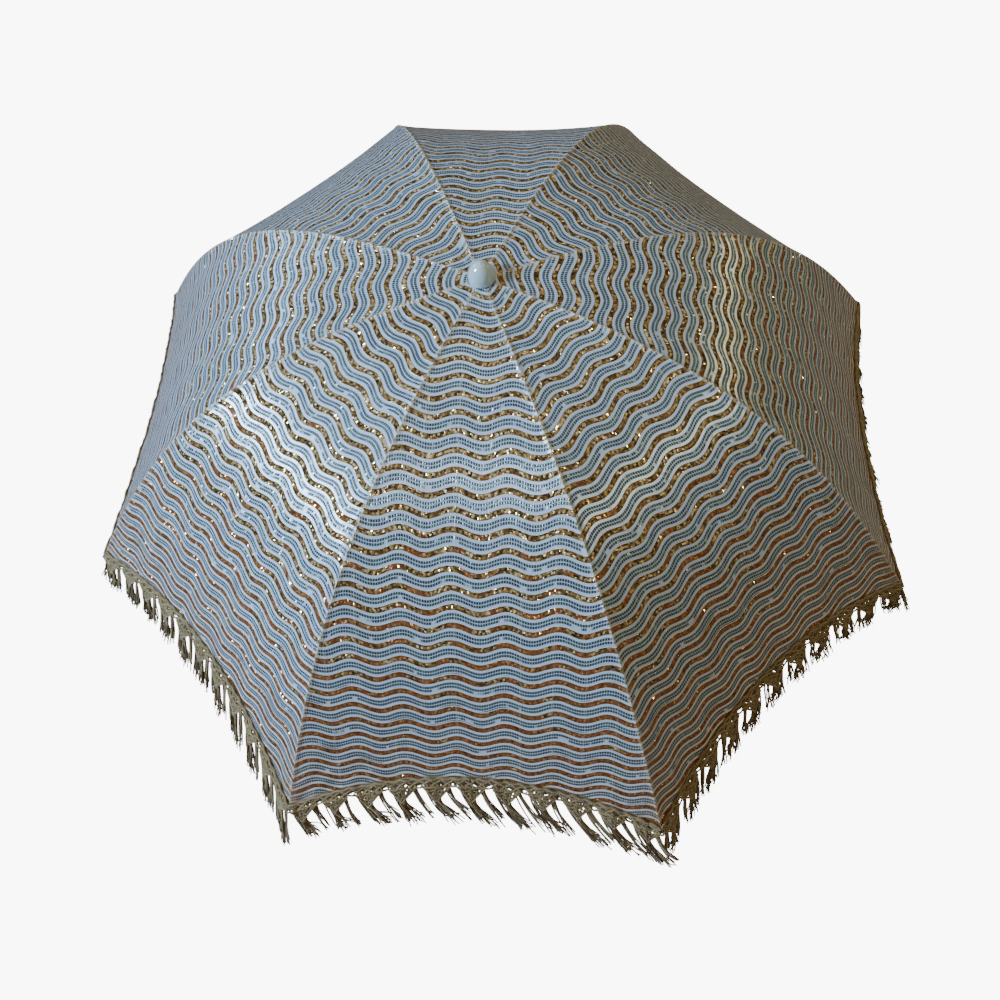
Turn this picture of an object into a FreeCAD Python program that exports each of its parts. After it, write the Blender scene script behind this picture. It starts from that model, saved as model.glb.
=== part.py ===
import FreeCAD, Part
import math
import os

os.makedirs("parts", exist_ok=True)

# Folding umbrella, open. Millimetres, +Z up, origin on the shaft axis in the
# middle of the hand grip. Ribs are numbered from 1 at azimuth 22.5 degrees,
# turning from +X towards +Y; panel n lies between rib n and rib n + 1.

V = FreeCAD.Vector
sin, cos, pi = math.sin, math.cos, math.pi

# Canopy
COUNT = 8                       # ribs and panels
TIP_R = 445.0                   # shaft axis to the corners of the hem
DOME = (0.2165, 0.5441, -0.2094)  # seam drop / TIP_R over (r / TIP_R) ** 2, 4, 6
CLOTH_T = 0.5
CLOTH_IN_R = 8.0                # hole in the middle of the canopy
CLOTH_TOP = 5.2                 # cloth top over the notch pivots, at the shaft
HEM_SCALLOP = 30.0              # mid-hem drawn in from the chord between tips
CLOTH_SAG = 9.0                 # cloth between two ribs, below the chord
SEAM_GAP = 0.15                 # panel edge to the plane of the seam

# Fringe
FRINGE_UNITS = 11               # tassels on one hem
HEADER = 10.0                   # knotted band below the hem
TASSEL = 74.0                   # strands below the band
HEADER_DIP = math.radians(53)   # slope below horizontal
TASSEL_DIP = math.radians(60)
FRINGE_T = 1.2

# Shaft: three tubes, the top one outermost
GRIP_R, GRIP_HALF = 15.0, 25.0  # straight part of the grip, about the origin
END_CAP = 12.0
HANDLE_TOP = 37.0
STROKE = 150.0                  # travel of each of the two telescoping steps
TOP_TUBE_R, MID_TUBE_R, LOW_TUBE_R = 6.5, 4.9, 3.95
TOP_BORE_R, MID_BORE_R, LOW_BORE_R = 5.9, 4.4, 3.3
TUBE_FIT = 0.05                 # every end collar and bushing
COLLAR = 8.0                    # length of the collars and bushings
NOTCH_DROP = 180.0              # notch pivots to the lower end of the top tube
NOTCH_Z = HANDLE_TOP + 3.0 + NOTCH_DROP + 2 * STROKE

# Ribs: three links folding flat
RING_R = 10.0                   # notch wire ring
WIRE_R = 0.6
L1, L2 = 168.0, 172.0           # top and middle rib, pivot to pivot
KNUCKLE = 1.8                   # pivot to rib centre line
BAR_H, BAR_W = 2.6, 3.2
EYE_R, PIN_R, PIN_FIT = 1.9, 0.8, 0.05
TONGUE, EAR_IN, EAR_OUT = 0.6, 0.75, 1.6   # half widths along a pivot
ROD_R = 1.2                     # outer rib
TIP_LEN = 12.0
FOLDED = math.radians(88)       # dip of the folded top and outer ribs

# Stretcher
STR_A = 66.0                    # notch pivot to stretcher pivot along the rib
STR_E = 3.0                     # and below the rib centre line
STR_B = 84.0                    # stretcher, pivot to runner wire
RUN_R = 10.5                    # runner wire ring


def seam_z(r):
    """Top of the cloth over a rib, relative to the notch pivots."""
    s = r / TIP_R
    return CLOTH_TOP - TIP_R * (DOME[0] * s**2 + DOME[1] * s**4 + DOME[2] * s**6)


def bisect(f, lo, hi):
    for _ in range(60):
        mid = (lo + hi) / 2
        lo, hi = (lo, mid) if f(lo) * f(mid) <= 0 else (mid, hi)
    return (lo + hi) / 2


def walk(start, dip, along, up):
    """Point reached in a rib's plane (r, z) from start, in the link's own axes."""
    return (start[0] + along * cos(dip) + up * sin(dip),
            start[1] - along * sin(dip) + up * cos(dip))


def solve_ribs():
    """Dips of the three links with the joints just below the cloth."""
    hub = (RING_R, 0.0)
    gap = lambda p, d, a: p[1] - seam_z(p[0]) + d / cos(a)
    dip1 = bisect(lambda t: gap(walk(hub, t, L1, KNUCKLE), 3.2, 0.26), 0.02, 0.3)
    j1 = walk(hub, dip1, L1, KNUCKLE)
    dip2 = bisect(lambda t: gap(walk(j1, t, L2, -2 * KNUCKLE), 5.2, 0.73), 0.2, 0.9)
    j2 = walk(j1, dip2, L2, -2 * KNUCKLE)
    dr, dz = TIP_R - 0.5 - j2[0], j2[1] - (seam_z(TIP_R) - 5.4)
    far = math.hypot(dr, dz)
    dip3 = math.atan2(dz, dr) + math.asin(KNUCKLE / far)
    return dip1, dip2, dip3, j1, j2, math.sqrt(far**2 - KNUCKLE**2)


DIP1, DIP2, DIP3, J1, J2, L3 = solve_ribs()
STR_P = walk((RING_R, 0.0), DIP1, STR_A, -STR_E)
RUN_D = -STR_P[1] + math.sqrt(STR_B**2 - (STR_P[0] - RUN_R) ** 2)
STR_DIP = math.atan2(RUN_D + STR_P[1], RUN_R - STR_P[0])
RUN_Z = NOTCH_Z - RUN_D


def export(name, shape):
    shape.exportStep("parts/" + name + ".step")


def azimuth(n):
    return 22.5 + 45.0 * (n - 1)


def place(shape, start, dip, n):
    """Puts a link drawn along +X at its pivot, in the plane of rib n."""
    s = shape.copy()
    s.rotate(V(0, 0, 0), V(0, 1, 0), math.degrees(dip))
    s.translate(V(start[0], 0, NOTCH_Z + start[1]))
    s.rotate(V(0, 0, 0), V(0, 0, 1), azimuth(n))
    return s


def block(x0, x1, z0, z1, y1, y0=None):
    y0 = -y1 if y0 is None else y0
    return Part.makeBox(x1 - x0, y1 - y0, z1 - z0, V(x0, y0, z0))


def disc(x, z, r, y1, y0=None):
    y0 = -y1 if y0 is None else y0
    return Part.makeCylinder(r, y1 - y0, V(x, y0, z), V(0, 1, 0))


def plate(points, y1, y0=None):
    """Flat plate with its outline in X and Z."""
    y0 = -y1 if y0 is None else y0
    ring = [V(x, y0, z) for x, z in points]
    face = Part.Face(Part.makePolygon(ring + ring[:1]))
    return face.extrude(V(0, y1 - y0, 0))


def join(parts):
    return parts[0].multiFuse(parts[1:]).removeSplitter()


def revolve(points):
    ring = [V(r, 0, z) for r, z in points]
    face = Part.Face(Part.makePolygon(ring + ring[:1]))
    return face.revolve(V(0, 0, 0), V(0, 0, 1), 360)


def tube(r_out, r_in, z0, z1):
    outer = Part.makeCylinder(r_out, z1 - z0, V(0, 0, z0))
    return outer.cut(Part.makeCylinder(r_in, z1 - z0 + 2, V(0, 0, z0 - 1)))


def channel(x0, x1, zc):
    """Pressed strip, open below."""
    bar = block(x0, x1, zc - BAR_H / 2, zc + BAR_H / 2, BAR_W / 2)
    return bar.cut(block(x0 + 6, x1 - 6, zc - BAR_H / 2 - 1, zc + BAR_H / 2 - 0.7, 1.0))


def fork(zc, root):
    """Two ears with their rivet round the pivot at the origin, bar at height zc."""
    side = 1 if zc > 0 else -1
    web = [(0.6, 0.2 * side), (root + 1, 0.2 * side), (root + 1, zc + side * BAR_H / 2),
           (1.4, zc + side * BAR_H / 2), (0.2, zc)]
    parts = [disc(0, 0, PIN_R, EAR_OUT)]
    for a, b in ((EAR_IN, EAR_OUT), (-EAR_OUT, -EAR_IN)):
        parts += [disc(0, 0, EYE_R, b, a), plate(web, b, a)]
    return parts


def tongue(x, zc, z):
    """Eye plate for a rivet at (x, z), rooted in a bar at height zc."""
    side = 1 if z > zc else -1
    web = [(x - 7, zc - side * 1.3), (x - 2, zc - side * 1.3), (x + 1.2, z - side * 1.2),
           (x - 1.2, z + side * 1.3), (x - 7, zc + side * 1.2)]
    return [disc(x, z, EYE_R, TONGUE), plate(web, TONGUE)]


def hole(x, z, r=PIN_R + PIN_FIT):
    return disc(x, z, r, 3)


def top_rib():
    lug = [(STR_A - 4, 0.9), (STR_A + 4, 0.9), (STR_A + 1.6, -STR_E), (STR_A - 1.6, -STR_E)]
    parts = [disc(0, 0, EYE_R, TONGUE), block(0, 9, -1.3, 1.3, TONGUE),
             channel(6, L1 - 2.8, 0), plate(lug, TONGUE), disc(STR_A, -STR_E, 1.7, TONGUE)]
    body = join(parts + tongue(L1, 0, KNUCKLE))
    body = body.cut(hole(0, 0, WIRE_R + 0.07)).cut(hole(STR_A, -STR_E))
    return body.cut(hole(L1, KNUCKLE))


def middle_rib():
    parts = fork(-KNUCKLE, 4) + [channel(4, L2 - 2.8, -KNUCKLE)]
    return join(parts + tongue(L2, -KNUCKLE, -2 * KNUCKLE)).cut(hole(L2, -2 * KNUCKLE))


def outer_rib():
    socket = block(4, 16, KNUCKLE - 1.3, KNUCKLE + 1.3, BAR_W / 2)
    rod = Part.makeCylinder(ROD_R, L3 - 4 - 12, V(12, 0, KNUCKLE), V(1, 0, 0))
    return join(fork(KNUCKLE, 4) + [socket, rod])


def rib_tip():
    """Moulded end that the hem is sewn to, pushed on the rod."""
    body = revolve([(0, L3 - TIP_LEN), (1.9, L3 - TIP_LEN), (1.9, L3 - 4), (2.6, L3 - 3),
                    (2.6, L3 - 1.4), (1.6, L3), (0, L3)])
    body = body.cut(Part.makeCylinder(ROD_R + 0.02, TIP_LEN - 3.5, V(0, 0, L3 - TIP_LEN)))
    body.rotate(V(0, 0, 0), V(0, 1, 0), 90)
    body.translate(V(0, 0, KNUCKLE))
    eyelet = disc(L3 - 9.5, KNUCKLE + 2.1, 0.35, 3)
    return body.cut(eyelet)


def stretcher():
    """Strut with a fork at the rib and an open hook at the runner wire."""
    b, h, off = STR_B, 1.0, 1.75
    parts = [disc(0, 0, PIN_R, 1.5)]
    for y0, y1 in ((0.75, 1.5), (-1.5, -0.75)):
        parts += [disc(0, 0, 1.6, y1, y0), block(0, 8, -h, h, y1, y0)]
    shank = [(5, -h), (b - 18, -h), (b - 8, off - h), (b, off - h), (b, off + h),
             (b - 9, off + h), (b - 19, h), (5, h)]
    parts.append(plate(shank, 1.2))
    parts.append(disc(b, 0, off + h, 1.2))
    body = join(parts)
    body = body.cut(disc(b, 0, WIRE_R + 0.05, 3))
    mouth = [(b, 0), (b + 6, -5.4), (b, -8), (b - 12, -8), (b - 12, off - h - 0.001),
             (b - 0.65, off - h - 0.001)]
    return body.cut(plate(mouth, 3))


def ring_slots(r_in, r_out, z0, z1, half, first=22.5):
    slots = []
    for k in range(COUNT):
        s = block(r_in, r_out, z0, z1, half)
        s.rotate(V(0, 0, 0), V(0, 0, 1), first + 45 * k)
        slots.append(s)
    return slots


def notch():
    body = revolve([(TOP_TUBE_R + TUBE_FIT, -9), (8.6, -9), (8.6, -4), (11.6, -2.2),
                    (11.6, 2.4), (10.6, 4), (TOP_TUBE_R + TUBE_FIT, 4)])
    body.translate(V(0, 0, NOTCH_Z))
    cuts = ring_slots(7.7, 14, NOTCH_Z - 4.5, NOTCH_Z + 5, 0.9)
    groove = Part.makeTorus(RING_R, WIRE_R + 0.03, V(0, 0, NOTCH_Z), V(0, 0, 1))
    return body.cut(cuts + [groove])


def runner():
    """Sleeve on the top tube: slotted flange above, finger grip below."""
    r0 = TOP_TUBE_R + TUBE_FIT
    body = revolve([(r0, -24), (10.4, -24), (11.4, -22.5), (10.0, -17), (11.2, -11.5),
                    (10.2, -10), (8.3, -9), (8.3, -3.4), (12.4, -2.6), (13, -1.8),
                    (13, 2.2), (12.4, 3), (r0, 3)])
    body.translate(V(0, 0, RUN_Z))
    cuts = ring_slots(7.5, 15, RUN_Z - 4, RUN_Z + 4, 1.5)
    keyway = block(5, 7.8, RUN_Z - 25, RUN_Z + 4, 1.6)
    keyway.rotate(V(0, 0, 0), V(0, 0, 1), 270)
    body = body.cut(cuts + [keyway])
    return body.cut(Part.makeTorus(RUN_R, WIRE_R + 0.03, V(0, 0, RUN_Z), V(0, 0, 1)))


def catch_slot(r0, r1, half, z0, z1):
    s = block(r0, r1, z0, z1, half)
    s.rotate(V(0, 0, 0), V(0, 0, 1), 270)
    return s


def telescope(r_out, bore, z0, z1, collar_r, bushing_r):
    """Tube with a bushing in its lower end and a collar round its upper end."""
    parts = [tube(r_out, bore, z0, z1)]
    if bushing_r:
        parts.append(tube(bore + 0.1, bushing_r, z0, z0 + COLLAR))
    if collar_r:
        parts.append(tube(collar_r, r_out - 0.1, z1 - COLLAR, z1))
    return join(parts)


def top_tube():
    z0, z1 = NOTCH_Z - NOTCH_DROP, NOTCH_Z + 4
    body = telescope(TOP_TUBE_R, TOP_BORE_R, z0, z1, None, MID_TUBE_R + TUBE_FIT)
    body = body.fuse(tube(7.4, TOP_TUBE_R - 0.1, z0, z0 + 5)).removeSplitter()
    return body.cut(catch_slot(4, 8, 1.3, RUN_Z - 36, RUN_Z - 14))


def runner_catch():
    """Leaf catch in the tube wall; its nose runs in the keyway of the runner."""
    z = RUN_Z
    leaf = [(6.15, z - 35.5), (6.45, z - 35.5), (7.45, z - 20), (7.45, z - 18),
            (6.45, z - 14.5), (6.15, z - 14.5)]
    body = plate(leaf, 1.2)
    body.rotate(V(0, 0, 0), V(0, 0, 1), 270)
    return body


def middle_tube():
    z0 = HANDLE_TOP + 1.5 + STROKE
    body = telescope(MID_TUBE_R, MID_BORE_R, z0, z0 + 171, TOP_BORE_R - TUBE_FIT,
                     LOW_TUBE_R + TUBE_FIT)
    return body.fuse(tube(6.4, MID_TUBE_R - 0.1, z0, z0 + 1.2)).removeSplitter()


def lower_tube():
    return telescope(LOW_TUBE_R, LOW_BORE_R, 2 - GRIP_HALF, HANDLE_TOP + 168,
                     MID_BORE_R - TUBE_FIT, None)


def handle_grip():
    low, top = -GRIP_HALF, HANDLE_TOP
    body = revolve([(0, low), (GRIP_R, low), (GRIP_R, -low), (14.6, top - 8),
                    (13.4, top - 4), (11.4, top - 1), (10, top), (0, top)])
    return body.cut(Part.makeCylinder(LOW_TUBE_R + TUBE_FIT, 80, V(0, 0, low + 2)))


def handle_end_cap():
    """Plug under the grip, cross-drilled near its edge for a wrist cord."""
    r = GRIP_R - 0.6
    body = revolve([(0, 0), (r - 2.5, 0), (r - 0.6, 1.4), (r, 3.5), (r, END_CAP - 0.2),
                    (0, END_CAP - 0.2)])
    body = body.cut(Part.makeCylinder(1.8, 40, V(10.2, -20, 6), V(0, 1, 0)))
    body.translate(V(0, 0, -GRIP_HALF - END_CAP))
    return body


def ferrule_cap():
    """Short rounded cone that clamps the cloth on the notch."""
    dome = [(11.4 * (1 - (k / 12.0)**2.1)**0.62, 3.0 + 16.0 * k / 12.0) for k in range(1, 12)]
    outline = [(0, 0), (10.9, 0), (11.5, 0.8), (11.5, 3.0)] + dome + [(0, 19.0)]
    body = revolve(outline)
    body.translate(V(0, 0, NOTCH_Z + CLOTH_TOP + 0.3))
    return body


def hem_point(u, v):
    """Cloth top at v (0 shaft, 1 hem) and u (-1 and 1 on the seams), panel on +X."""
    half = pi / COUNT
    r_seam = CLOTH_IN_R + v * (TIP_R - CLOTH_IN_R)
    x_seam, y = r_seam * cos(half), u * (r_seam * sin(half) - SEAM_GAP)
    bow = 1 - u * u
    x = x_seam - HEM_SCALLOP * v**3 * bow
    slope = 0.4330 * v + 2.1764 * v**3 - 1.2564 * v**5
    z = seam_z(r_seam) + slope * HEM_SCALLOP * v**3 * bow - CLOTH_SAG * v * bow
    return V(x, y, NOTCH_Z + z)


def canopy_panel(n):
    us = [k / 4.0 - 1 for k in range(9)]
    vs = [k / 12.0 for k in range(13)]
    surface = Part.BSplineSurface()
    surface.interpolate([[hem_point(u, v) for u in us] for v in vs])
    body = surface.toShape().extrude(V(-0.5, 0, -0.86).multiply(CLOTH_T))
    body.rotate(V(0, 0, 0), V(0, 0, 1), 45.0 * n)
    return body


def thick_sheet(faces, shift):
    """Solid between flat faces given by their corners and the same faces shifted."""
    edges, walls = {}, []
    for f in faces:
        for a, b in zip(f, f[1:] + f[:1]):
            edges[(tuple(a), tuple(b))] = (a, b)
    for (ka, kb), (a, b) in edges.items():
        if (kb, ka) not in edges:
            walls.append([b, a, a.add(shift), b.add(shift)])
    under = [[p.add(shift) for p in reversed(f)] for f in faces]
    shell = Part.Shell([Part.Face(Part.makePolygon(f + f[:1])) for f in faces + under + walls])
    return Part.Solid(shell)


def fringe_panel(n):
    """Knotted band and its row of tassels below one hem."""
    def point(u, dist):
        p, a = hem_point(u, 1.0), u * pi / COUNT
        head, tail = min(dist, HEADER), max(dist - HEADER, 0.0)
        out = head * cos(HEADER_DIP) + tail * cos(TASSEL_DIP)
        down = head * sin(HEADER_DIP) + tail * sin(TASSEL_DIP)
        return p.add(V(out * cos(a), out * sin(a), -down - 0.9))
    faces, n_units = [], FRINGE_UNITS
    at = lambda j: -0.97 + 1.94 * j / n_units   # leaves the corners to the rib tips
    for j in range(n_units):
        a, b = point(at(j), 0), point(at(j + 1), 0)
        c, d = point(at(j), HEADER), point(at(j + 1), HEADER)
        e, f = point(at(j + 0.15), HEADER), point(at(j + 0.85), HEADER)
        g, h = (point(at(j + s), HEADER + TASSEL) for s in (0.2, 0.8))
        faces += [[a, c, e], [a, e, f], [a, f, b], [b, f, d], [e, g, h], [e, h, f]]
    body = thick_sheet(faces, V(-0.84, 0, -0.54).multiply(FRINGE_T))
    body.rotate(V(0, 0, 0), V(0, 0, 1), 45.0 * n)
    return body


def build():
    links = {"top_rib": (top_rib(), (RING_R, 0.0), DIP1),
             "middle_rib": (middle_rib(), J1, DIP2),
             "outer_rib": (outer_rib(), J2, DIP3),
             "rib_tip": (rib_tip(), J2, DIP3),
             "stretcher": (stretcher(), STR_P, STR_DIP)}
    for name, (shape, start, dip) in links.items():
        for n in range(1, COUNT + 1):
            export("%s_%d" % (name, n), place(shape, start, dip, n))
    for n in range(1, COUNT + 1):
        export("canopy_panel_%d" % n, canopy_panel(n))
    export("fringe", Part.makeCompound([fringe_panel(n) for n in range(1, COUNT + 1)]))
    export("notch_wire", Part.makeTorus(RING_R, WIRE_R, V(0, 0, NOTCH_Z), V(0, 0, 1)))
    export("runner_wire", Part.makeTorus(RUN_R, WIRE_R, V(0, 0, RUN_Z), V(0, 0, 1)))
    singles = (ferrule_cap, notch, top_tube, middle_tube, lower_tube, runner, runner_catch,
               handle_grip, handle_end_cap)
    for make in singles:
        export(make.__name__, make())


build()
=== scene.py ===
import math

import bpy
import numpy as np
from mathutils import Matrix, Vector


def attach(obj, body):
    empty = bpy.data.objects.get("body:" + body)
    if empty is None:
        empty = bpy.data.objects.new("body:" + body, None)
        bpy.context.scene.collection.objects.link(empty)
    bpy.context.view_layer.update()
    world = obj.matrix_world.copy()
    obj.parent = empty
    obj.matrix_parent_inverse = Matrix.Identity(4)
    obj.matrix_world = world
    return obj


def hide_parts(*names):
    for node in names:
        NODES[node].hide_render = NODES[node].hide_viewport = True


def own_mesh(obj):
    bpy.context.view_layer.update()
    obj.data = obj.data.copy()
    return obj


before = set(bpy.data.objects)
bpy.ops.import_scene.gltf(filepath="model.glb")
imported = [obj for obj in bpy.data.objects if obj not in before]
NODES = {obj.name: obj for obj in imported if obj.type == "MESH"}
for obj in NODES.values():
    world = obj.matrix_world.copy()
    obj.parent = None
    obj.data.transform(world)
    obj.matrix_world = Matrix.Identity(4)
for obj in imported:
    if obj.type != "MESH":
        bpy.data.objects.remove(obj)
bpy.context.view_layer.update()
MM = 0.001

# Shape of the canopy, the same as the CAD part's (millimetres)
NOTCH_Z, TIP_R, CLOTH_IN, CLOTH_TOP = 520.0, 445.0, 8.0, 5.2
DOME = (0.2165, 0.5441, -0.2094)
SCALLOP, SAG, CLOTH_T = 30.0, 9.0, 0.5
JOINTS_R = (176.9, 324.5)          # rib joints, from the shaft axis
HEADER, TASSEL, UNITS = 10.0, 74.0, 11
HEADER_DIP, TASSEL_DIP = math.radians(53), math.radians(60)
HALF = math.pi / 8

# Pattern of the cloth: one copper band and its teal rows, their waves, one sequin and one dash
PERIOD, WAVE_LONG, WAVE_HIGH, SEQUIN, DASH = 16.8, 43.0, 3.1, 1.75, 2.1
FLOOR_Z, FLOOR_HALF = -60, 2e4


# ---------------------------------------------------------------- geometry
def seam_z(r):
    s = r / TIP_R
    return NOTCH_Z + CLOTH_TOP - TIP_R * (DOME[0] * s**2 + DOME[1] * s**4 + DOME[2] * s**6)


def arc_table():
    r = np.linspace(0, TIP_R * 1.02, 600)
    return r, np.concatenate([[0], np.cumsum(np.hypot(np.diff(r), np.diff(seam_z(r))))])


ARC_R, ARC_S = arc_table()


def cloth(u, v, k):
    """Top of panel k's cloth at u (-1, 1 on its seams) and v (0 shaft, 1 hem).
    Returns the point, then its place on the cut cloth: across, along, to the seam, to the hem."""
    r = CLOTH_IN + v * (TIP_R - CLOTH_IN)
    y = u * r * math.sin(HALF)
    bow = 1 - u * u
    inset = SCALLOP * v**3 * bow
    slope = 0.4330 * v + 2.1764 * v**3 - 1.2564 * v**5
    x = r * math.cos(HALF) - inset
    z = seam_z(r) + slope * inset - SAG * v * bow
    along = np.interp(r - inset, ARC_R, ARC_S)
    to_seam = r * math.sin(HALF) - np.abs(y)
    to_hem = np.interp(TIP_R, ARC_R, ARC_S) - np.interp(r, ARC_R, ARC_S)
    z = z + puckers(y, along, to_seam, to_hem, k)
    az = math.radians(45.0 * k)
    p = np.stack([x * math.cos(az) - y * math.sin(az), x * math.sin(az) + y * math.cos(az), z], -1)
    return p, np.stack([y, along, to_seam, to_hem], -1)


def puckers(y, along, to_seam, to_hem, k):
    """Gathers at the hem, slanting creases beside the seams and the welt of the seam."""
    ph = 1.7 * k
    hem = np.exp(-to_hem / 34) * (np.sin(y / 4.1 + ph + 0.8 * np.sin(y / 17 + ph))
                                  + 0.6 * np.sin(y / 9.3 + 2 * ph))
    side = np.exp(-to_seam / 14) * np.sin((along + 0.9 * to_seam) / 6.5 + ph)
    fan = np.exp(-(to_hem + 0.6 * to_seam) / 75) * np.sin(
        np.arctan2(to_seam + 4, to_hem + 30) * 16 + ph)
    broad = np.sin(along / 31 + ph) * np.sin(y / 27 + 2 * ph)
    hold = 1 - np.exp(-to_seam / 6)
    near = np.clip(along / 160, 0, 1)
    welt = 0.75 * np.exp(-((to_seam / 1.7) ** 2)) * np.clip(along / 60, 0, 1)
    return welt + hold * (0.7 * hem + 0.6 * side * near + 1.2 * fan * near + 0.4 * broad * near)


def new_object(name, verts, faces, mats, index=None, smooth=True):
    mesh = bpy.data.meshes.new(name)
    mesh.from_pydata([tuple(p) for p in np.asarray(verts) * MM], [], faces)
    for m in mats:
        mesh.materials.append(m)
    if index is not None:
        mesh.polygons.foreach_set("material_index", index)
    mesh.polygons.foreach_set("use_smooth", [smooth] * len(mesh.polygons))
    obj = bpy.data.objects.new(name, mesh)
    bpy.context.scene.collection.objects.link(obj)
    return obj


def gore(n, v0, v1, name, rows, mats, side):
    """Cloth from rib n to mid-panel on one side, between v0 and v1, as a closed thin solid."""
    cols = 46
    w = np.linspace(-1, 1, 2 * cols + 1)
    w = np.sign(w) * np.abs(w) ** 1.45          # finer beside the seam
    vs = np.linspace(v0, v1, rows + 1)
    tops, facts = [], []
    for a in w:
        k, u = (n, a - 1) if a > 0 else (n - 1, a + 1)
        p, f = cloth(np.full(rows + 1, u), vs, k % 8)
        tops.append(p)
        facts.append(np.column_stack([f, np.full(rows + 1, k % 8)]))
    top, facts = np.array(tops), np.array(facts)
    du, dv = np.gradient(top, axis=0), np.gradient(top, axis=1)
    normal = np.cross(dv, du)
    normal /= np.linalg.norm(normal, axis=-1, keepdims=True) + 1e-12
    normal *= np.sign(normal[..., 2:3])
    if side:                                    # the seam's own column belongs to panel n here
        _, seam_facts = cloth(np.full(rows + 1, -1.0), vs, n % 8)
        facts[cols] = np.column_stack([seam_facts, np.full(rows + 1, n % 8)])
    half = slice(cols, None) if side else slice(0, cols + 1)
    top, normal, facts, du, dv = (g[half] for g in (top, normal, facts, du, dv))
    under = top - normal * CLOTH_T
    nu, nv = top.shape[0], top.shape[1]
    idx = np.arange(nu * nv).reshape(nu, nv)
    quads = lambda g: [(int(g[i, j]), int(g[i, j + 1]), int(g[i + 1, j + 1]), int(g[i + 1, j]))
                       for i in range(nu - 1) for j in range(nv - 1)]
    faces = quads(idx)
    low = [tuple(reversed([q + nu * nv for q in f])) for f in faces]
    ring = ([(i, 0) for i in range(nu - 1)] + [(nu - 1, j) for j in range(nv - 1)]
            + [(i, nv - 1) for i in range(nu - 1, 0, -1)] + [(0, j) for j in range(nv - 1, 0, -1)])
    ring = [int(idx[c]) for c in ring]
    rim = [(a, b, b + nu * nv, a + nu * nv) for a, b in zip(ring, ring[1:] + ring[:1])]
    verts = np.concatenate([top.reshape(-1, 3), under.reshape(-1, 3)])
    mat = [0] * len(faces) + [1] * len(low) + [1] * len(rim)
    obj = new_object(name, verts, faces + low + rim, mats, mat)
    both = np.concatenate([facts.reshape(-1, 5)] * 2)
    for i, attr in enumerate(("across", "along", "seam", "hem", "panel")):
        layer = obj.data.attributes.new(attr, "FLOAT", "POINT")
        layer.data.foreach_set("value", both[:, i].astype(np.float32))
    normals = np.concatenate([normal.reshape(-1, 3), -normal.reshape(-1, 3)])
    obj.data.normals_split_custom_set_from_vertices([tuple(v) for v in normals])
    area = float(np.linalg.norm(np.cross(dv, du), axis=-1)[:-1, :-1].sum()) * 1e-6
    seam, edge = (top[0], top[-1]) if side else (top[-1], top[0])
    return obj, area, fold_line(seam[0], seam[-1], (edge - seam).mean(0))


def fold_line(a, b, reach):
    """Direction across rib line a-b along which cloth gathers onto it, and a point on the line."""
    run = (b - a) / np.linalg.norm(b - a)
    reach = reach - run * (reach @ run)
    return tuple(reach / np.linalg.norm(reach)), tuple((a + b) / 2 * MM)


class Strands:
    """Collects cords as thin tubes in one mesh."""

    def __init__(self):
        self.verts, self.faces, self.tint, self.count = [], [], [], 0

    def add(self, path, r0, r1, tint, sides=4):
        path = np.asarray(path, float)
        step = np.gradient(path, axis=0)
        step /= np.linalg.norm(step, axis=1, keepdims=True) + 1e-9
        ref = np.array([0.31, -0.52, 0.79])
        a = np.cross(step, ref)
        a /= np.linalg.norm(a, axis=1, keepdims=True) + 1e-9
        b = np.cross(step, a)
        m = len(path)
        rad = np.linspace(r0, r1, m)[:, None, None]
        ang = np.arange(sides) * 2 * math.pi / sides
        ringpts = (path[:, None] + rad * (np.cos(ang)[None, :, None] * a[:, None]
                                          + np.sin(ang)[None, :, None] * b[:, None]))
        base = self.count
        self.verts.append(ringpts.reshape(-1, 3))
        for i in range(m - 1):
            for j in range(sides):
                p, q = base + i * sides + j, base + i * sides + (j + 1) % sides
                self.faces.append((p, q, q + sides, p + sides))
        self.faces.append(tuple(base + j for j in reversed(range(sides))))
        self.faces.append(tuple(base + (m - 1) * sides + j for j in range(sides)))
        self.tint += [tint] * (m * sides)
        self.count += m * sides

    def build(self, name, mat):
        obj = new_object(name, np.concatenate(self.verts), self.faces, [mat])
        layer = obj.data.attributes.new("tint", "FLOAT", "POINT")
        layer.data.foreach_set("value", np.array(self.tint, np.float32))
        return obj


def trim(k, a, d, out=0.0, lift=0.0):
    """Points of panel k's trim: a is -1..1 along the hem, d how far down it from the hem."""
    a, d = np.atleast_1d(a).astype(float), np.atleast_1d(d).astype(float)
    a, d = np.broadcast_arrays(a, d)
    a_in = np.clip(a, -1, 1)
    p, _ = cloth(a_in, np.ones(a.shape), k)
    az = math.radians(45.0 * k) + a_in * HALF
    head, tail = np.minimum(d, HEADER), np.maximum(d - HEADER, 0)
    rear = 0.5 + 0.5 * np.sin(az)               # falls straighter towards the back
    r = (head * math.cos(HEADER_DIP) + tail * math.cos(TASSEL_DIP)) * (1 - 0.5 * rear) + out
    z = -head * math.sin(HEADER_DIP) - tail * math.sin(TASSEL_DIP) + lift
    side = (a - a_in) * 170
    return p + np.stack([r * np.cos(az) - side * np.sin(az),
                         r * np.sin(az) + side * np.cos(az), z], -1)


# Sideways lean of the tassels by panel
SWAY = {4: 0.3, 5: 0.7, 6: 1.15, 7: -0.5, 0: -0.4}
LENGTH = {5: 0.84, 6: 0.80, 7: 0.62}   # share of the full drop, on the hems where they hang short


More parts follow.
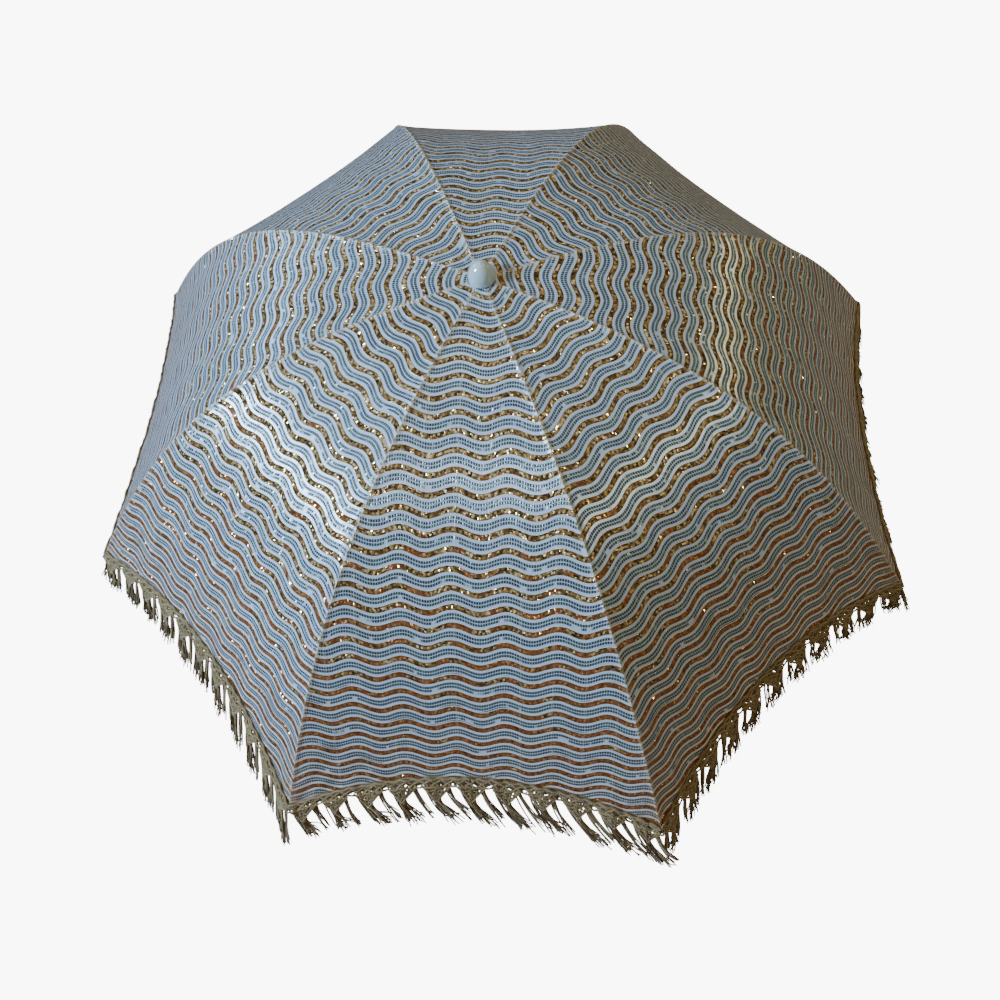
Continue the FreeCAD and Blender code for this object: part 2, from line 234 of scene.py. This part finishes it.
def strand(bag, k, a, d0, d1, lean, rng, r0, r1, tint, curl=1.0):
    """One hanging cord from (a, d0) down to d1, leaning by lean units and curling at its end."""
    q = np.linspace(0, 1, 8)
    bend, turn = rng.uniform(-1, 1), rng.uniform(0, 6.28)
    side = lean * q**1.7 + curl * (0.07 * bend * q + 0.05 * np.sin(6 * q + turn) * q)
    out = curl * (1.6 * np.sin(5 * q + turn) * q + 1.2 * bend * q)
    lift = 12.0 * abs(lean) * q**2.5
    bag.add(trim(k, a + side / UNITS, d0 + (d1 - d0) * q, out, lift), r0, r1, tint)


def fringe_unit(bag, k, j, rng):
    """Unit j of panel k: open net, knotted triangle, a leg on each side and a tassel."""
    c, h = -1 + (2 * j + 1) / UNITS, 1 / UNITS
    knot, foot = HEADER + 20, HEADER + TASSEL * LENGTH.get(k, 1.0)
    sway = SWAY.get(k, 0.1) + rng.uniform(-0.25, 0.25)
    # A close row of short cords tinted near black below the hem: painted shade for the dark behind
    # the open net
    for t in np.arange(-0.95, 1, 0.11):
        strand(bag, k, c + h * t, 0.0, HEADER + rng.uniform(-1.5, 1.5) - 1.5, 0, rng, 1.5, 1.3,
               rng.uniform(-1.0, -0.8), 0.1)
    for t0, t1 in ((-1, -0.35), (-0.35, -1), (-0.4, 0.25), (0.25, -0.4), (0.3, 0.95), (1, 0.3)):
        q = np.linspace(0, 1, 6)
        bag.add(trim(k, c + h * (t0 + (t1 - t0) * q), 0.5 + 9.5 * q, 1.6 + 0.5 * np.sin(9 * q)),
                0.85, 0.8, rng.uniform(0.4, 1.0))
    for i in range(13):
        t = -0.68 + 1.36 * i / 12 + rng.uniform(-0.05, 0.05)
        end = rng.choice((-1, 1)) * rng.uniform(0, 0.16)
        q = np.linspace(0, 1, 7)
        path = trim(k, c + h * (t * (1 - q) + end * q), HEADER - 2 + (knot - HEADER + 2) * q,
                    0.8 + 1.4 * np.sin(7 * q + i), 0.5 * np.cos(8 * q + 2 * i))
        bag.add(path, 1.15, 1.0, rng.uniform(-0.3, 0.55))
    for q0, reach in ((0.0, 0.72), (0.22, 0.56), (0.46, 0.40), (0.7, 0.25)):
        t = np.linspace(-1, 1, 9)
        bag.add(trim(k, c + h * t * reach, HEADER + 20 * q0 + 1.6 * np.sin(9 * t + 5 * q0), 2.2),
                0.95, 0.95, rng.uniform(0.3, 1.0))
    for side in (-1, 1):
        q = np.linspace(0, 1, 6)
        bag.add(trim(k, c + h * side * 0.75 * (1 - q), HEADER + 20 * q, 2.2), 1.1, 1.0,
                rng.uniform(0.6, 1))
        for i in range(8):
            strand(bag, k, c + h * side * (0.60 + 0.16 * rng.uniform(-1, 1)), HEADER - 3,
                   foot * rng.uniform(0.72, 0.98), sway + rng.uniform(-0.1, 0.1), rng,
                   0.95, 0.6, rng.uniform(-0.6, 0.8))
    w = np.linspace(0, 9.4, 14)
    bag.add(trim(k, c + h * 0.16 * np.cos(w), knot - 1 + 0.5 * w, 1.3 + 1.2 * np.sin(w)),
            0.9, 0.9, rng.uniform(0.2, 0.8))
    for i in range(26):
        t = rng.uniform(-1, 1)
        strand(bag, k, c + h * 0.17 * t, knot, foot * rng.uniform(0.8, 1.0),
               sway * 0.8 + 0.34 * t, rng, 0.95, 0.55, rng.uniform(-0.7, 0.85), 1.6)


def hem_cords(bag, k, a0, a1, rng):
    """Cords that bind the trim to the hem and edge its net."""
    for d, r, tint in ((0.0, 1.2, 0.5), (2.6, 0.9, -0.2), (10.0, 1.0, 0.75)):
        a = np.linspace(a0, a1, 81)
        bag.add(trim(k, a, d + 0.6 * np.sin(90 * a), 1.4 + 0.5 * np.cos(90 * a)), r, r, tint)


# ---------------------------------------------------------------- materials
class Sock:
    """Node socket that can be used in sums."""

    def __init__(self, tree, sock):
        self.tree, self.sock = tree, sock

    def op(self, kind, *others):
        node = self.tree.nodes.new("ShaderNodeMath")
        node.operation = kind
        for i, value in enumerate((self,) + others):
            if isinstance(value, Sock):
                self.tree.links.new(value.sock, node.inputs[i])
            else:
                node.inputs[i].default_value = value
        return Sock(self.tree, node.outputs[0])

    def __add__(self, o):
        return self.op("ADD", o)

    def __sub__(self, o):
        return self.op("SUBTRACT", o)

    def __mul__(self, o):
        return self.op("MULTIPLY", o)

    def __truediv__(self, o):
        return self.op("DIVIDE", o)

    def sin(self):
        return self.op("SINE")

    def fract(self):
        return self.op("FRACT")

    def floor(self):
        return self.op("FLOOR")

    def between(self, lo, hi, soft=0.02):
        """1 between lo and hi, 0 outside, with a soft edge."""
        up = ((self - (lo - soft)) / (2 * soft)).op("MINIMUM", 1.0).op("MAXIMUM", 0.0)
        down = ((self * -1.0 + (hi + soft)) / (2 * soft)).op("MINIMUM", 1.0).op("MAXIMUM", 0.0)
        return up * down


class Shader:
    def __init__(self, name):
        self.mat = bpy.data.materials.new(name)
        self.mat.use_nodes = True
        self.tree = self.mat.node_tree
        self.bsdf = self.tree.nodes["Principled BSDF"]

    def put(self, name, value):
        if isinstance(value, Sock):
            self.tree.links.new(value.sock, self.bsdf.inputs[name])
        else:
            self.bsdf.inputs[name].default_value = value

    def attr(self, name):
        node = self.tree.nodes.new("ShaderNodeAttribute")
        node.attribute_name = name
        return Sock(self.tree, node.outputs["Fac"])

    def join(self, x, y, z=0.0):
        node = self.tree.nodes.new("ShaderNodeCombineXYZ")
        for i, value in enumerate((x, y, z)):
            if isinstance(value, Sock):
                self.tree.links.new(value.sock, node.inputs[i])
            else:
                node.inputs[i].default_value = value
        return Sock(self.tree, node.outputs[0])

    def noise(self, vector, scale, detail=2.0):
        node = self.tree.nodes.new("ShaderNodeTexNoise")
        node.inputs["Scale"].default_value = scale
        node.inputs["Detail"].default_value = detail
        self.tree.links.new(vector.sock, node.inputs["Vector"])
        return Sock(self.tree, node.outputs["Fac"])

    def cell(self, vector, colour=False):
        node = self.tree.nodes.new("ShaderNodeTexWhiteNoise")
        node.noise_dimensions = "3D"
        self.tree.links.new(vector.sock, node.inputs["Vector"])
        return Sock(self.tree, node.outputs["Color" if colour else "Value"])

    def mix(self, fac, a, b):
        node = self.tree.nodes.new("ShaderNodeMix")
        node.data_type = "RGBA"
        for i, value in ((0, fac), (6, a), (7, b)):
            if isinstance(value, Sock):
                self.tree.links.new(value.sock, node.inputs[i])
            else:
                node.inputs[i].default_value = value if i == 0 else (*value, 1)
        return Sock(self.tree, node.outputs[2])

    def bump(self, height, strength, distance, normal=None):
        node = self.tree.nodes.new("ShaderNodeBump")
        node.inputs["Strength"].default_value = strength
        node.inputs["Distance"].default_value = distance
        self.tree.links.new(height.sock, node.inputs["Height"])
        if normal is not None:
            self.tree.links.new(normal.sock, node.inputs["Normal"])
        return Sock(self.tree, node.outputs[0])

    def tilt(self, random, amount):
        """Surface normal leaning by a random vector."""
        geo = self.tree.nodes.new("ShaderNodeNewGeometry")
        centre = self.tree.nodes.new("ShaderNodeVectorMath")
        centre.operation = "SUBTRACT"
        self.tree.links.new(random.sock, centre.inputs[0])
        centre.inputs[1].default_value = (0.5, 0.5, 0.5)
        scale = self.tree.nodes.new("ShaderNodeVectorMath")
        scale.operation = "SCALE"
        self.tree.links.new(centre.outputs[0], scale.inputs[0])
        self.tree.links.new(amount.sock, scale.inputs["Scale"])
        total = self.tree.nodes.new("ShaderNodeVectorMath")
        total.operation = "ADD"
        self.tree.links.new(geo.outputs["Normal"], total.inputs[0])
        self.tree.links.new(scale.outputs[0], total.inputs[1])
        unit = self.tree.nodes.new("ShaderNodeVectorMath")
        unit.operation = "NORMALIZE"
        self.tree.links.new(total.outputs[0], unit.inputs[0])
        return Sock(self.tree, unit.outputs[0])


def sequin_cloth():
    """Pale satin with wavy bands: copper and gold sequins, then rows of fine teal dashes."""
    s = Shader("sequin_cloth")
    x = s.attr("across") + s.attr("panel") * 17.3
    along, seam, hem, panel = s.attr("along"), s.attr("seam"), s.attr("hem"), s.attr("panel")
    wob = s.noise(s.join(x * 0.02, along * 0.02, panel * 9.0), 1.0) * 3.0
    wave = (x * (2 * math.pi / WAVE_LONG) + wob * 0.5).sin() * WAVE_HIGH
    pull = (seam * -0.06 + hem * -0.011).op("EXPONENT") * 11.0
    t = (along + wave + wob * 0.4 - pull) / PERIOD
    f, row = t.fract(), t.floor()
    q = (f - 0.17) / 0.16
    copper = f.between(0.01, 0.33, 0.012)
    edge = f.between(0.33, 0.375, 0.01) + f.between(0.965, 1.5, 0.01)
    cloud = s.noise(s.join(x, along, panel * 40.0), 0.03)
    ground = s.mix(cloud, (0.33, 0.475, 0.75), (0.39, 0.535, 0.81))

    ground = s.mix((hem * -0.011).op("EXPONENT") * 0.6, ground, (0.62, 0.58, 0.66))

    sub = (f / 0.115 + row * 0.5).floor()
    bit = (x / SEQUIN + sub * 0.43).floor()
    cell = s.cell(s.join(bit, row * 9.0 + sub, panel))
    cell_b = s.cell(s.join(bit, row * 9.0 + sub + 57.3, panel))
    seg = s.noise(s.join(x * 0.055, row * 3.7, panel * 5.0), 1.0, 1.0)
    near = (along * -1.0 + 330.0) / 620.0
    gold = (seg + near).between(0.50, 9.0, 0.06)
    mid = (q * q) * -1.0 + 1.0
    band = s.mix(cell, (0.18, 0.075, 0.032), (0.43, 0.175, 0.076))
    band = s.mix(cell_b.between(0.88, 2.0, 0.02) * 0.7, band, (0.62, 0.38, 0.20))
    olive = s.mix(cell, (0.075, 0.045, 0.016), (0.235, 0.145, 0.058))
    olive = s.mix(cell_b.between(0.60, 2.0, 0.03) * (mid * 0.6 + 0.4), olive, (0.52, 0.38, 0.17))
    olive = s.mix(cell_b.between(0.87, 2.0, 0.02) * (mid * 0.6 + 0.4), olive, (0.90, 0.82, 0.58))
    band = s.mix(gold, band, olive)
    band = s.mix(cell_b.between(-1.0, 0.16, 0.02) * (gold * 0.7 + 0.3), band,
                 (0.030, 0.020, 0.010))
    band = s.mix(mid * -0.6 + 0.6, band, (0.07, 0.04, 0.016))
    dash = (x / DASH + row * 0.37).fract().between(0.12, 0.88, 0.08)
    skip = s.noise(s.join(x * 0.09, row * 5.3, panel), 1.0, 1.0).between(0.33, 2.0, 0.03)
    third = s.noise(s.join(x * 0.03, row * 2.9, panel * 3.0), 1.0, 1.0).between(0.60, 2.0, 0.05)
    third = third * hem.between(-9.0, 200.0, 60.0)
    g = (f - 0.50) / 0.34
    lines = (g.between(-0.02, 0.43, 0.03) + g.between(0.56, 1.0, 0.03) * skip
             + g.between(1.13, 1.34, 0.03) * third)
    teal = f.between(0.47, 0.86, 0.03)
    ink = s.mix(s.cell(s.join((x / 7.2).floor(), row, panel + 3.0)), (0.010, 0.020, 0.045),
                (0.020, 0.060, 0.050))
    body = s.mix(teal * (hem * -0.008).op("EXPONENT") * 0.30, ground, (0.17, 0.27, 0.38))
    colour = s.mix(lines * (dash * 0.6 + 0.38), body, ink)
    colour = s.mix(edge * 0.45, colour, (0.60, 0.56, 0.52))
    colour = s.mix(copper, colour, band)
    # Thin crease lines across the panels: raised in the bump and lightened in the colour, the
    # lightening a painted highlight on the creases
    crease_and_highlight = ((x + wob * 0.8) / 27.0).fract().between(0.485, 0.515, 0.012)
    crease_and_highlight = crease_and_highlight * s.noise(s.join(x * 0.03, along * 0.013, panel), 1.0).between(0.45, 2.0, 0.1)
    colour = s.mix(crease_and_highlight * 0.22, colour, (0.72, 0.76, 0.80))
    outer = (hem * -0.02).op("EXPONENT")
    corner = (seam * -0.10).op("EXPONENT") * outer
    colour = s.mix(corner * 0.62, colour, (0.34, 0.20, 0.11))
    # Paler line along the seam welt with bright flecks on it: painted highlight and painted glints
    # where the welt catches the light
    seam_glint = s.cell(s.join((along / 2.1).floor(), (seam / 1.3).floor(), panel + 11.0))
    welt = seam.between(-1.0, 2.0, 0.4)
    colour = s.mix(welt * 0.16, colour, (0.62, 0.62, 0.60))
    colour = s.mix(welt * seam_glint.between(0.70, 2.0, 0.1) * 0.4, colour, (0.70, 0.62, 0.46))
    colour = s.mix(hem.between(-2.0, 2.6, 0.8) * 0.7, colour, (0.20, 0.14, 0.055))
    s.put("Base Color", colour)

    cell2 = s.cell(s.join(bit, row * 9.0 + sub, panel + 31.0), colour=True)
    dots = s.cell(s.join((x / DASH + row * 0.37).floor(), (g * 2.0).floor(), row + panel * 7.0),
                  colour=True)
    tilted = s.tilt(s.mix(copper, dots, cell2), copper * 0.9 + lines * dash * 0.45)
    relief = copper * ((x / SEQUIN + sub * 0.43).fract().between(0.1, 0.9, 0.1)) + lines * dash * 0.6
    relief = relief + seam.between(-1.0, 3.0, 0.6) * 0.8 + hem.between(-1.0, 6.0, 0.6) * 1.2
    relief = relief + crease_and_highlight * 0.8
    s.put("Normal", s.bump(relief, 0.5, 0.0006, tilted))
    s.put("Metallic", copper * 0.45 + lines * dash * 0.1 + 0.14)
    s.put("Roughness", copper * -0.17 + lines * dash * -0.08 + 0.30)
    s.put("Specular IOR Level", 0.55)
    return s.mat


def lining():
    s = Shader("cloth_back")
    x, along = s.attr("across"), s.attr("along")
    wave = (x * (2 * math.pi / 50.0)).sin() * 4.3
    f = ((along + wave) / PERIOD).fract()
    band = f.between(0.02, 0.29, 0.03)
    s.put("Base Color", s.mix(band, (0.115, 0.085, 0.07), (0.06, 0.035, 0.02)))
    s.put("Roughness", 0.75)
    s.put("Sheen Weight", 0.2)
    return s.mat


def cord():
    s = Shader("trim_cord")
    tint = s.attr("tint")
    geo = s.tree.nodes.new("ShaderNodeTexCoord")
    place = Sock(s.tree, geo.outputs["Object"])
    fuzz = s.noise(place, 900.0, 3.0)
    # The tint attribute runs each cord from near black through brown to khaki: partly the yarn's own
    # varying tone, partly painted shade between and behind cords, the near-black end wholly painted
    # shade
    light = tint.op("MAXIMUM", 0.0).op("MINIMUM", 1.0)
    lit = s.mix(light, (0.080, 0.050, 0.022), (0.26, 0.205, 0.10))
    dark = (tint * -1.0).op("MAXIMUM", 0.0).op("MINIMUM", 1.0)
    colour = s.mix(dark, lit, (0.035, 0.020, 0.010))
    s.put("Base Color", s.mix(fuzz.between(0.55, 2.0, 0.1) * 0.35, colour, (0.10, 0.065, 0.02)))
    s.put("Roughness", 0.78)
    s.put("Sheen Weight", 0.3)
    s.put("Normal", s.bump(fuzz, 0.5, 0.0005))
    return s.mat


def plain(name, colour, rough, metal=0.0, coat=0.0, grain=0.0):
    s = Shader(name)
    geo = s.tree.nodes.new("ShaderNodeTexCoord")
    place = Sock(s.tree, geo.outputs["Object"])
    wear = s.noise(place, 60.0, 4.0)
    dark = tuple(c * 0.86 for c in colour)
    s.put("Base Color", s.mix(wear, dark, colour))
    s.put("Roughness", wear * 0.12 + (rough - 0.06))
    s.put("Metallic", metal)
    s.put("Coat Weight", coat)
    if grain:
        s.put("Normal", s.bump(s.noise(place, 1500.0, 2.0), grain, 0.0003))
    return s.mat


def dress_nodes():
    steel = plain("rib_steel", (0.52, 0.53, 0.55), 0.32, metal=1.0)
    chrome = plain("shaft_chrome", (0.74, 0.78, 0.84), 0.18, metal=1.0)
    black = plain("black_plastic", (0.018, 0.018, 0.02), 0.35, coat=0.3)
    cap = plain("cap_plastic", (0.40, 0.56, 0.70), 0.16, coat=0.8)
    grip = plain("handle_plastic", (0.38, 0.54, 0.72), 0.24, coat=0.6)
    tip = plain("tip_plastic", (0.46, 0.33, 0.22), 0.45, grain=0.2)
    looks = {"top_rib": steel, "middle_rib": steel, "outer_rib": steel, "stretcher": steel,
             "runner_catch": steel, "notch_wire": steel, "runner_wire": steel,
             "rib_tip": tip, "top_tube": chrome, "middle_tube": chrome, "lower_tube": chrome,
             "notch": black, "runner": black, "handle_end_cap": black,
             "ferrule_cap": cap, "handle_grip": grip}
    for name, obj in NODES.items():
        key = name.rstrip("12345678").rstrip("_")
        if key in looks:
            obj.data.materials.clear()
            obj.data.materials.append(looks[key])


# ---------------------------------------------------------------- canopy and trim
def build_canopy():
    top, back = sequin_cloth(), lining()
    cord_mat = cord()
    rings = (("in", "top_rib", 26, 0.09), ("mid", "middle_rib", 26, 0.06),
             ("out", "outer_rib", 28, 0.055))
    cuts = [0.0] + [(r - CLOTH_IN) / (TIP_R - CLOTH_IN) for r in JOINTS_R] + [1.0]
    rng = np.random.default_rng(7)
    for n in range(1, 9):
        for side in (0, 1):
            k = n % 8 if side else (n - 1) % 8
            half, bag = UNITS // 2, Strands()
            for j in (range(0, half + (k % 2)) if side else range(half + (k % 2), UNITS)):
                fringe_unit(bag, k, j, rng)
            hem_cords(bag, k, *((-1, 0) if side else (0, 1)), rng)
            tassels = bag.build("fringe_%d_%s" % (n, "ab"[side]), cord_mat)
            rib, _ = cloth(np.full(2, -1.0 if side else 1.0), np.array([cuts[2], 1.0]), k)
            middle = trim(k, 0.0, 20.0)[0] - trim(k, -1.0 if side else 1.0, 20.0)[0]
            across, point = fold_line(rib[0], rib[1], middle)
            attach(tassels, "outer_rib_%d" % n)
            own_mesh(tassels)
            if n == 1 and not side:
                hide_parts("fringe")
            for (tag, body, rows, keep), v0, v1 in zip(rings, cuts, cuts[1:]):
                name = "canopy_%s_%d_%s" % (tag, n, "ab"[side])
                obj, area, (across, point) = gore(n, v0, v1, name, rows, [top, back], side)
                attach(obj, "%s_%d" % (body, n))
                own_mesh(obj)
                if tag == "in" and not side:
                    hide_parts("canopy_panel_%d" % n)
                r0, r1 = CLOTH_IN + v0 * (TIP_R - CLOTH_IN), CLOTH_IN + v1 * (TIP_R - CLOTH_IN)
                wide = r1 * math.tan(HALF) * MM
                "%s_%d" % (body, n)
                [tassels] if tag == "out" else []


# ---------------------------------------------------------------- stage, light, camera
def add_light(name, place, aim, size, power, colour):
    data = bpy.data.lights.new(name, "AREA")
    data.shape, data.size, data.size_y = "RECTANGLE", size[0], size[1]
    data.energy, data.color = power, colour
    obj = bpy.data.objects.new(name, data)
    obj.location = place
    obj.rotation_euler = (Vector(aim) - Vector(place)).to_track_quat("-Z", "Y").to_euler()
    bpy.context.scene.collection.objects.link(obj)
    return obj


def pale(name, strength):
    mat = bpy.data.materials.new(name)
    mat.use_nodes = True
    tree = mat.node_tree
    tree.nodes.clear()
    glow, out = tree.nodes.new("ShaderNodeEmission"), tree.nodes.new("ShaderNodeOutputMaterial")
    glow.inputs["Color"].default_value = (1, 1, 1, 1)
    glow.inputs["Strength"].default_value = strength
    tree.links.new(glow.outputs[0], out.inputs["Surface"])
    return mat


def build_stage():
    """Pale floor and surround that light nothing, dim warm room light and cool windows."""
    corners = [(x * FLOOR_HALF, y * FLOOR_HALF, FLOOR_Z)
               for x, y in ((-1, -1), (1, -1), (1, 1), (-1, 1))]
    floor = new_object("floor", corners, [(0, 1, 2, 3)], [pale("floor_pale", 9.0)], smooth=False)
    bpy.ops.mesh.primitive_uv_sphere_add(segments=32, ring_count=16, radius=19.0)
    dome = bpy.context.object
    dome.name = "surround"
    dome.data.materials.append(pale("surround_pale", 9.0))
    for obj in (floor, dome):
        obj.visible_diffuse = obj.visible_glossy = obj.visible_shadow = False
        obj.visible_transmission = False
    world = bpy.data.worlds.new("room")
    bpy.context.scene.world = world
    world.use_nodes = True
    tree = world.node_tree
    where = tree.nodes.new("ShaderNodeTexCoord")
    split = tree.nodes.new("ShaderNodeSeparateXYZ")
    ramp = tree.nodes.new("ShaderNodeMapRange")
    mix = tree.nodes.new("ShaderNodeMix")
    mix.data_type = "RGBA"
    mix.inputs[6].default_value = (0.17, 0.145, 0.11, 1)
    mix.inputs[7].default_value = (0.49, 0.335, 0.145, 1)
    ramp.inputs["From Min"].default_value, ramp.inputs["From Max"].default_value = -0.1, 0.9
    tree.links.new(where.outputs["Generated"], split.inputs[0])
    tree.links.new(split.outputs["Z"], ramp.inputs["Value"])
    tree.links.new(ramp.outputs[0], mix.inputs[0])
    tree.links.new(mix.outputs[2], tree.nodes["Background"].inputs[0])
    tree.nodes["Background"].inputs[1].default_value = 1.0
    aim = (0, 0, 0.45)
    for name, az, el, far, size, power, colour in (
            ("window_left", 198, 31, 2.5, (0.45, 0.45), 112, (0.62, 0.85, 1.0)),
            ("window_back", 150, 20, 2.5, (0.6, 0.9), 13, (0.52, 0.76, 1.0)),
            ("lamp_top", 100, 74, 2.2, (0.15, 0.15), 2, (1.0, 0.97, 0.9)),
            ("lamp_front", 248, 69, 2.2, (0.09, 0.09), 4, (1.0, 0.97, 0.9)),
            ("lamp_right", 345, 40, 2.2, (0.10, 0.10), 5, (1.0, 0.92, 0.45)),
            ("lamp_far", 36, 14, 2.2, (0.10, 0.10), 4, (1.0, 0.88, 0.40))):
        az, el = math.radians(az), math.radians(el)
        place = [a + far * c for a, c in zip(aim, (math.cos(el) * math.cos(az),
                                                   math.cos(el) * math.sin(az), math.sin(el)))]
        add_light(name, place, aim, size, power, colour)


def build_camera():
    """View from in front and above, in units of the tip radius about the top of the canopy."""
    unit, apex = TIP_R * MM, Vector((0, 0, (NOTCH_Z + CLOTH_TOP) * MM))
    el, roll, turn = (math.radians(a) for a in (53.395, -7.541, 9.0021))
    dist = 1.73078
    back = Vector((0, -math.cos(el), math.sin(el)))
    target = Vector((0, 0, -0.15))
    eye = target + back * dist
    right = Vector((1, 0, 0))
    up = right.cross(-back)
    fwd = (target + right * -0.01496 + up * -0.36789 - eye).normalized()
    side = fwd.cross(Vector((0, 0, 1))).normalized()
    top = side.cross(fwd)
    r2 = side * math.cos(roll) + top * math.sin(roll)
    u2 = top * math.cos(roll) - side * math.sin(roll)
    data = bpy.data.cameras.new("camera")
    data.sensor_width, data.lens = 36.0, 819.34 * 36.0 / 1000.0
    data.clip_start = 0.05
    cam = bpy.data.objects.new("camera", data)
    rot = Matrix((r2, u2, -fwd)).transposed().to_4x4()
    cam.matrix_world = (Matrix.Rotation(turn, 4, "Z")
                        @ Matrix.Translation(eye * unit + apex) @ rot)
    # the turn is about the shaft, and the apex lies on it
    bpy.context.scene.collection.objects.link(cam)
    bpy.context.scene.camera = cam


build_camera()
build_stage()
dress_nodes()
build_canopy()
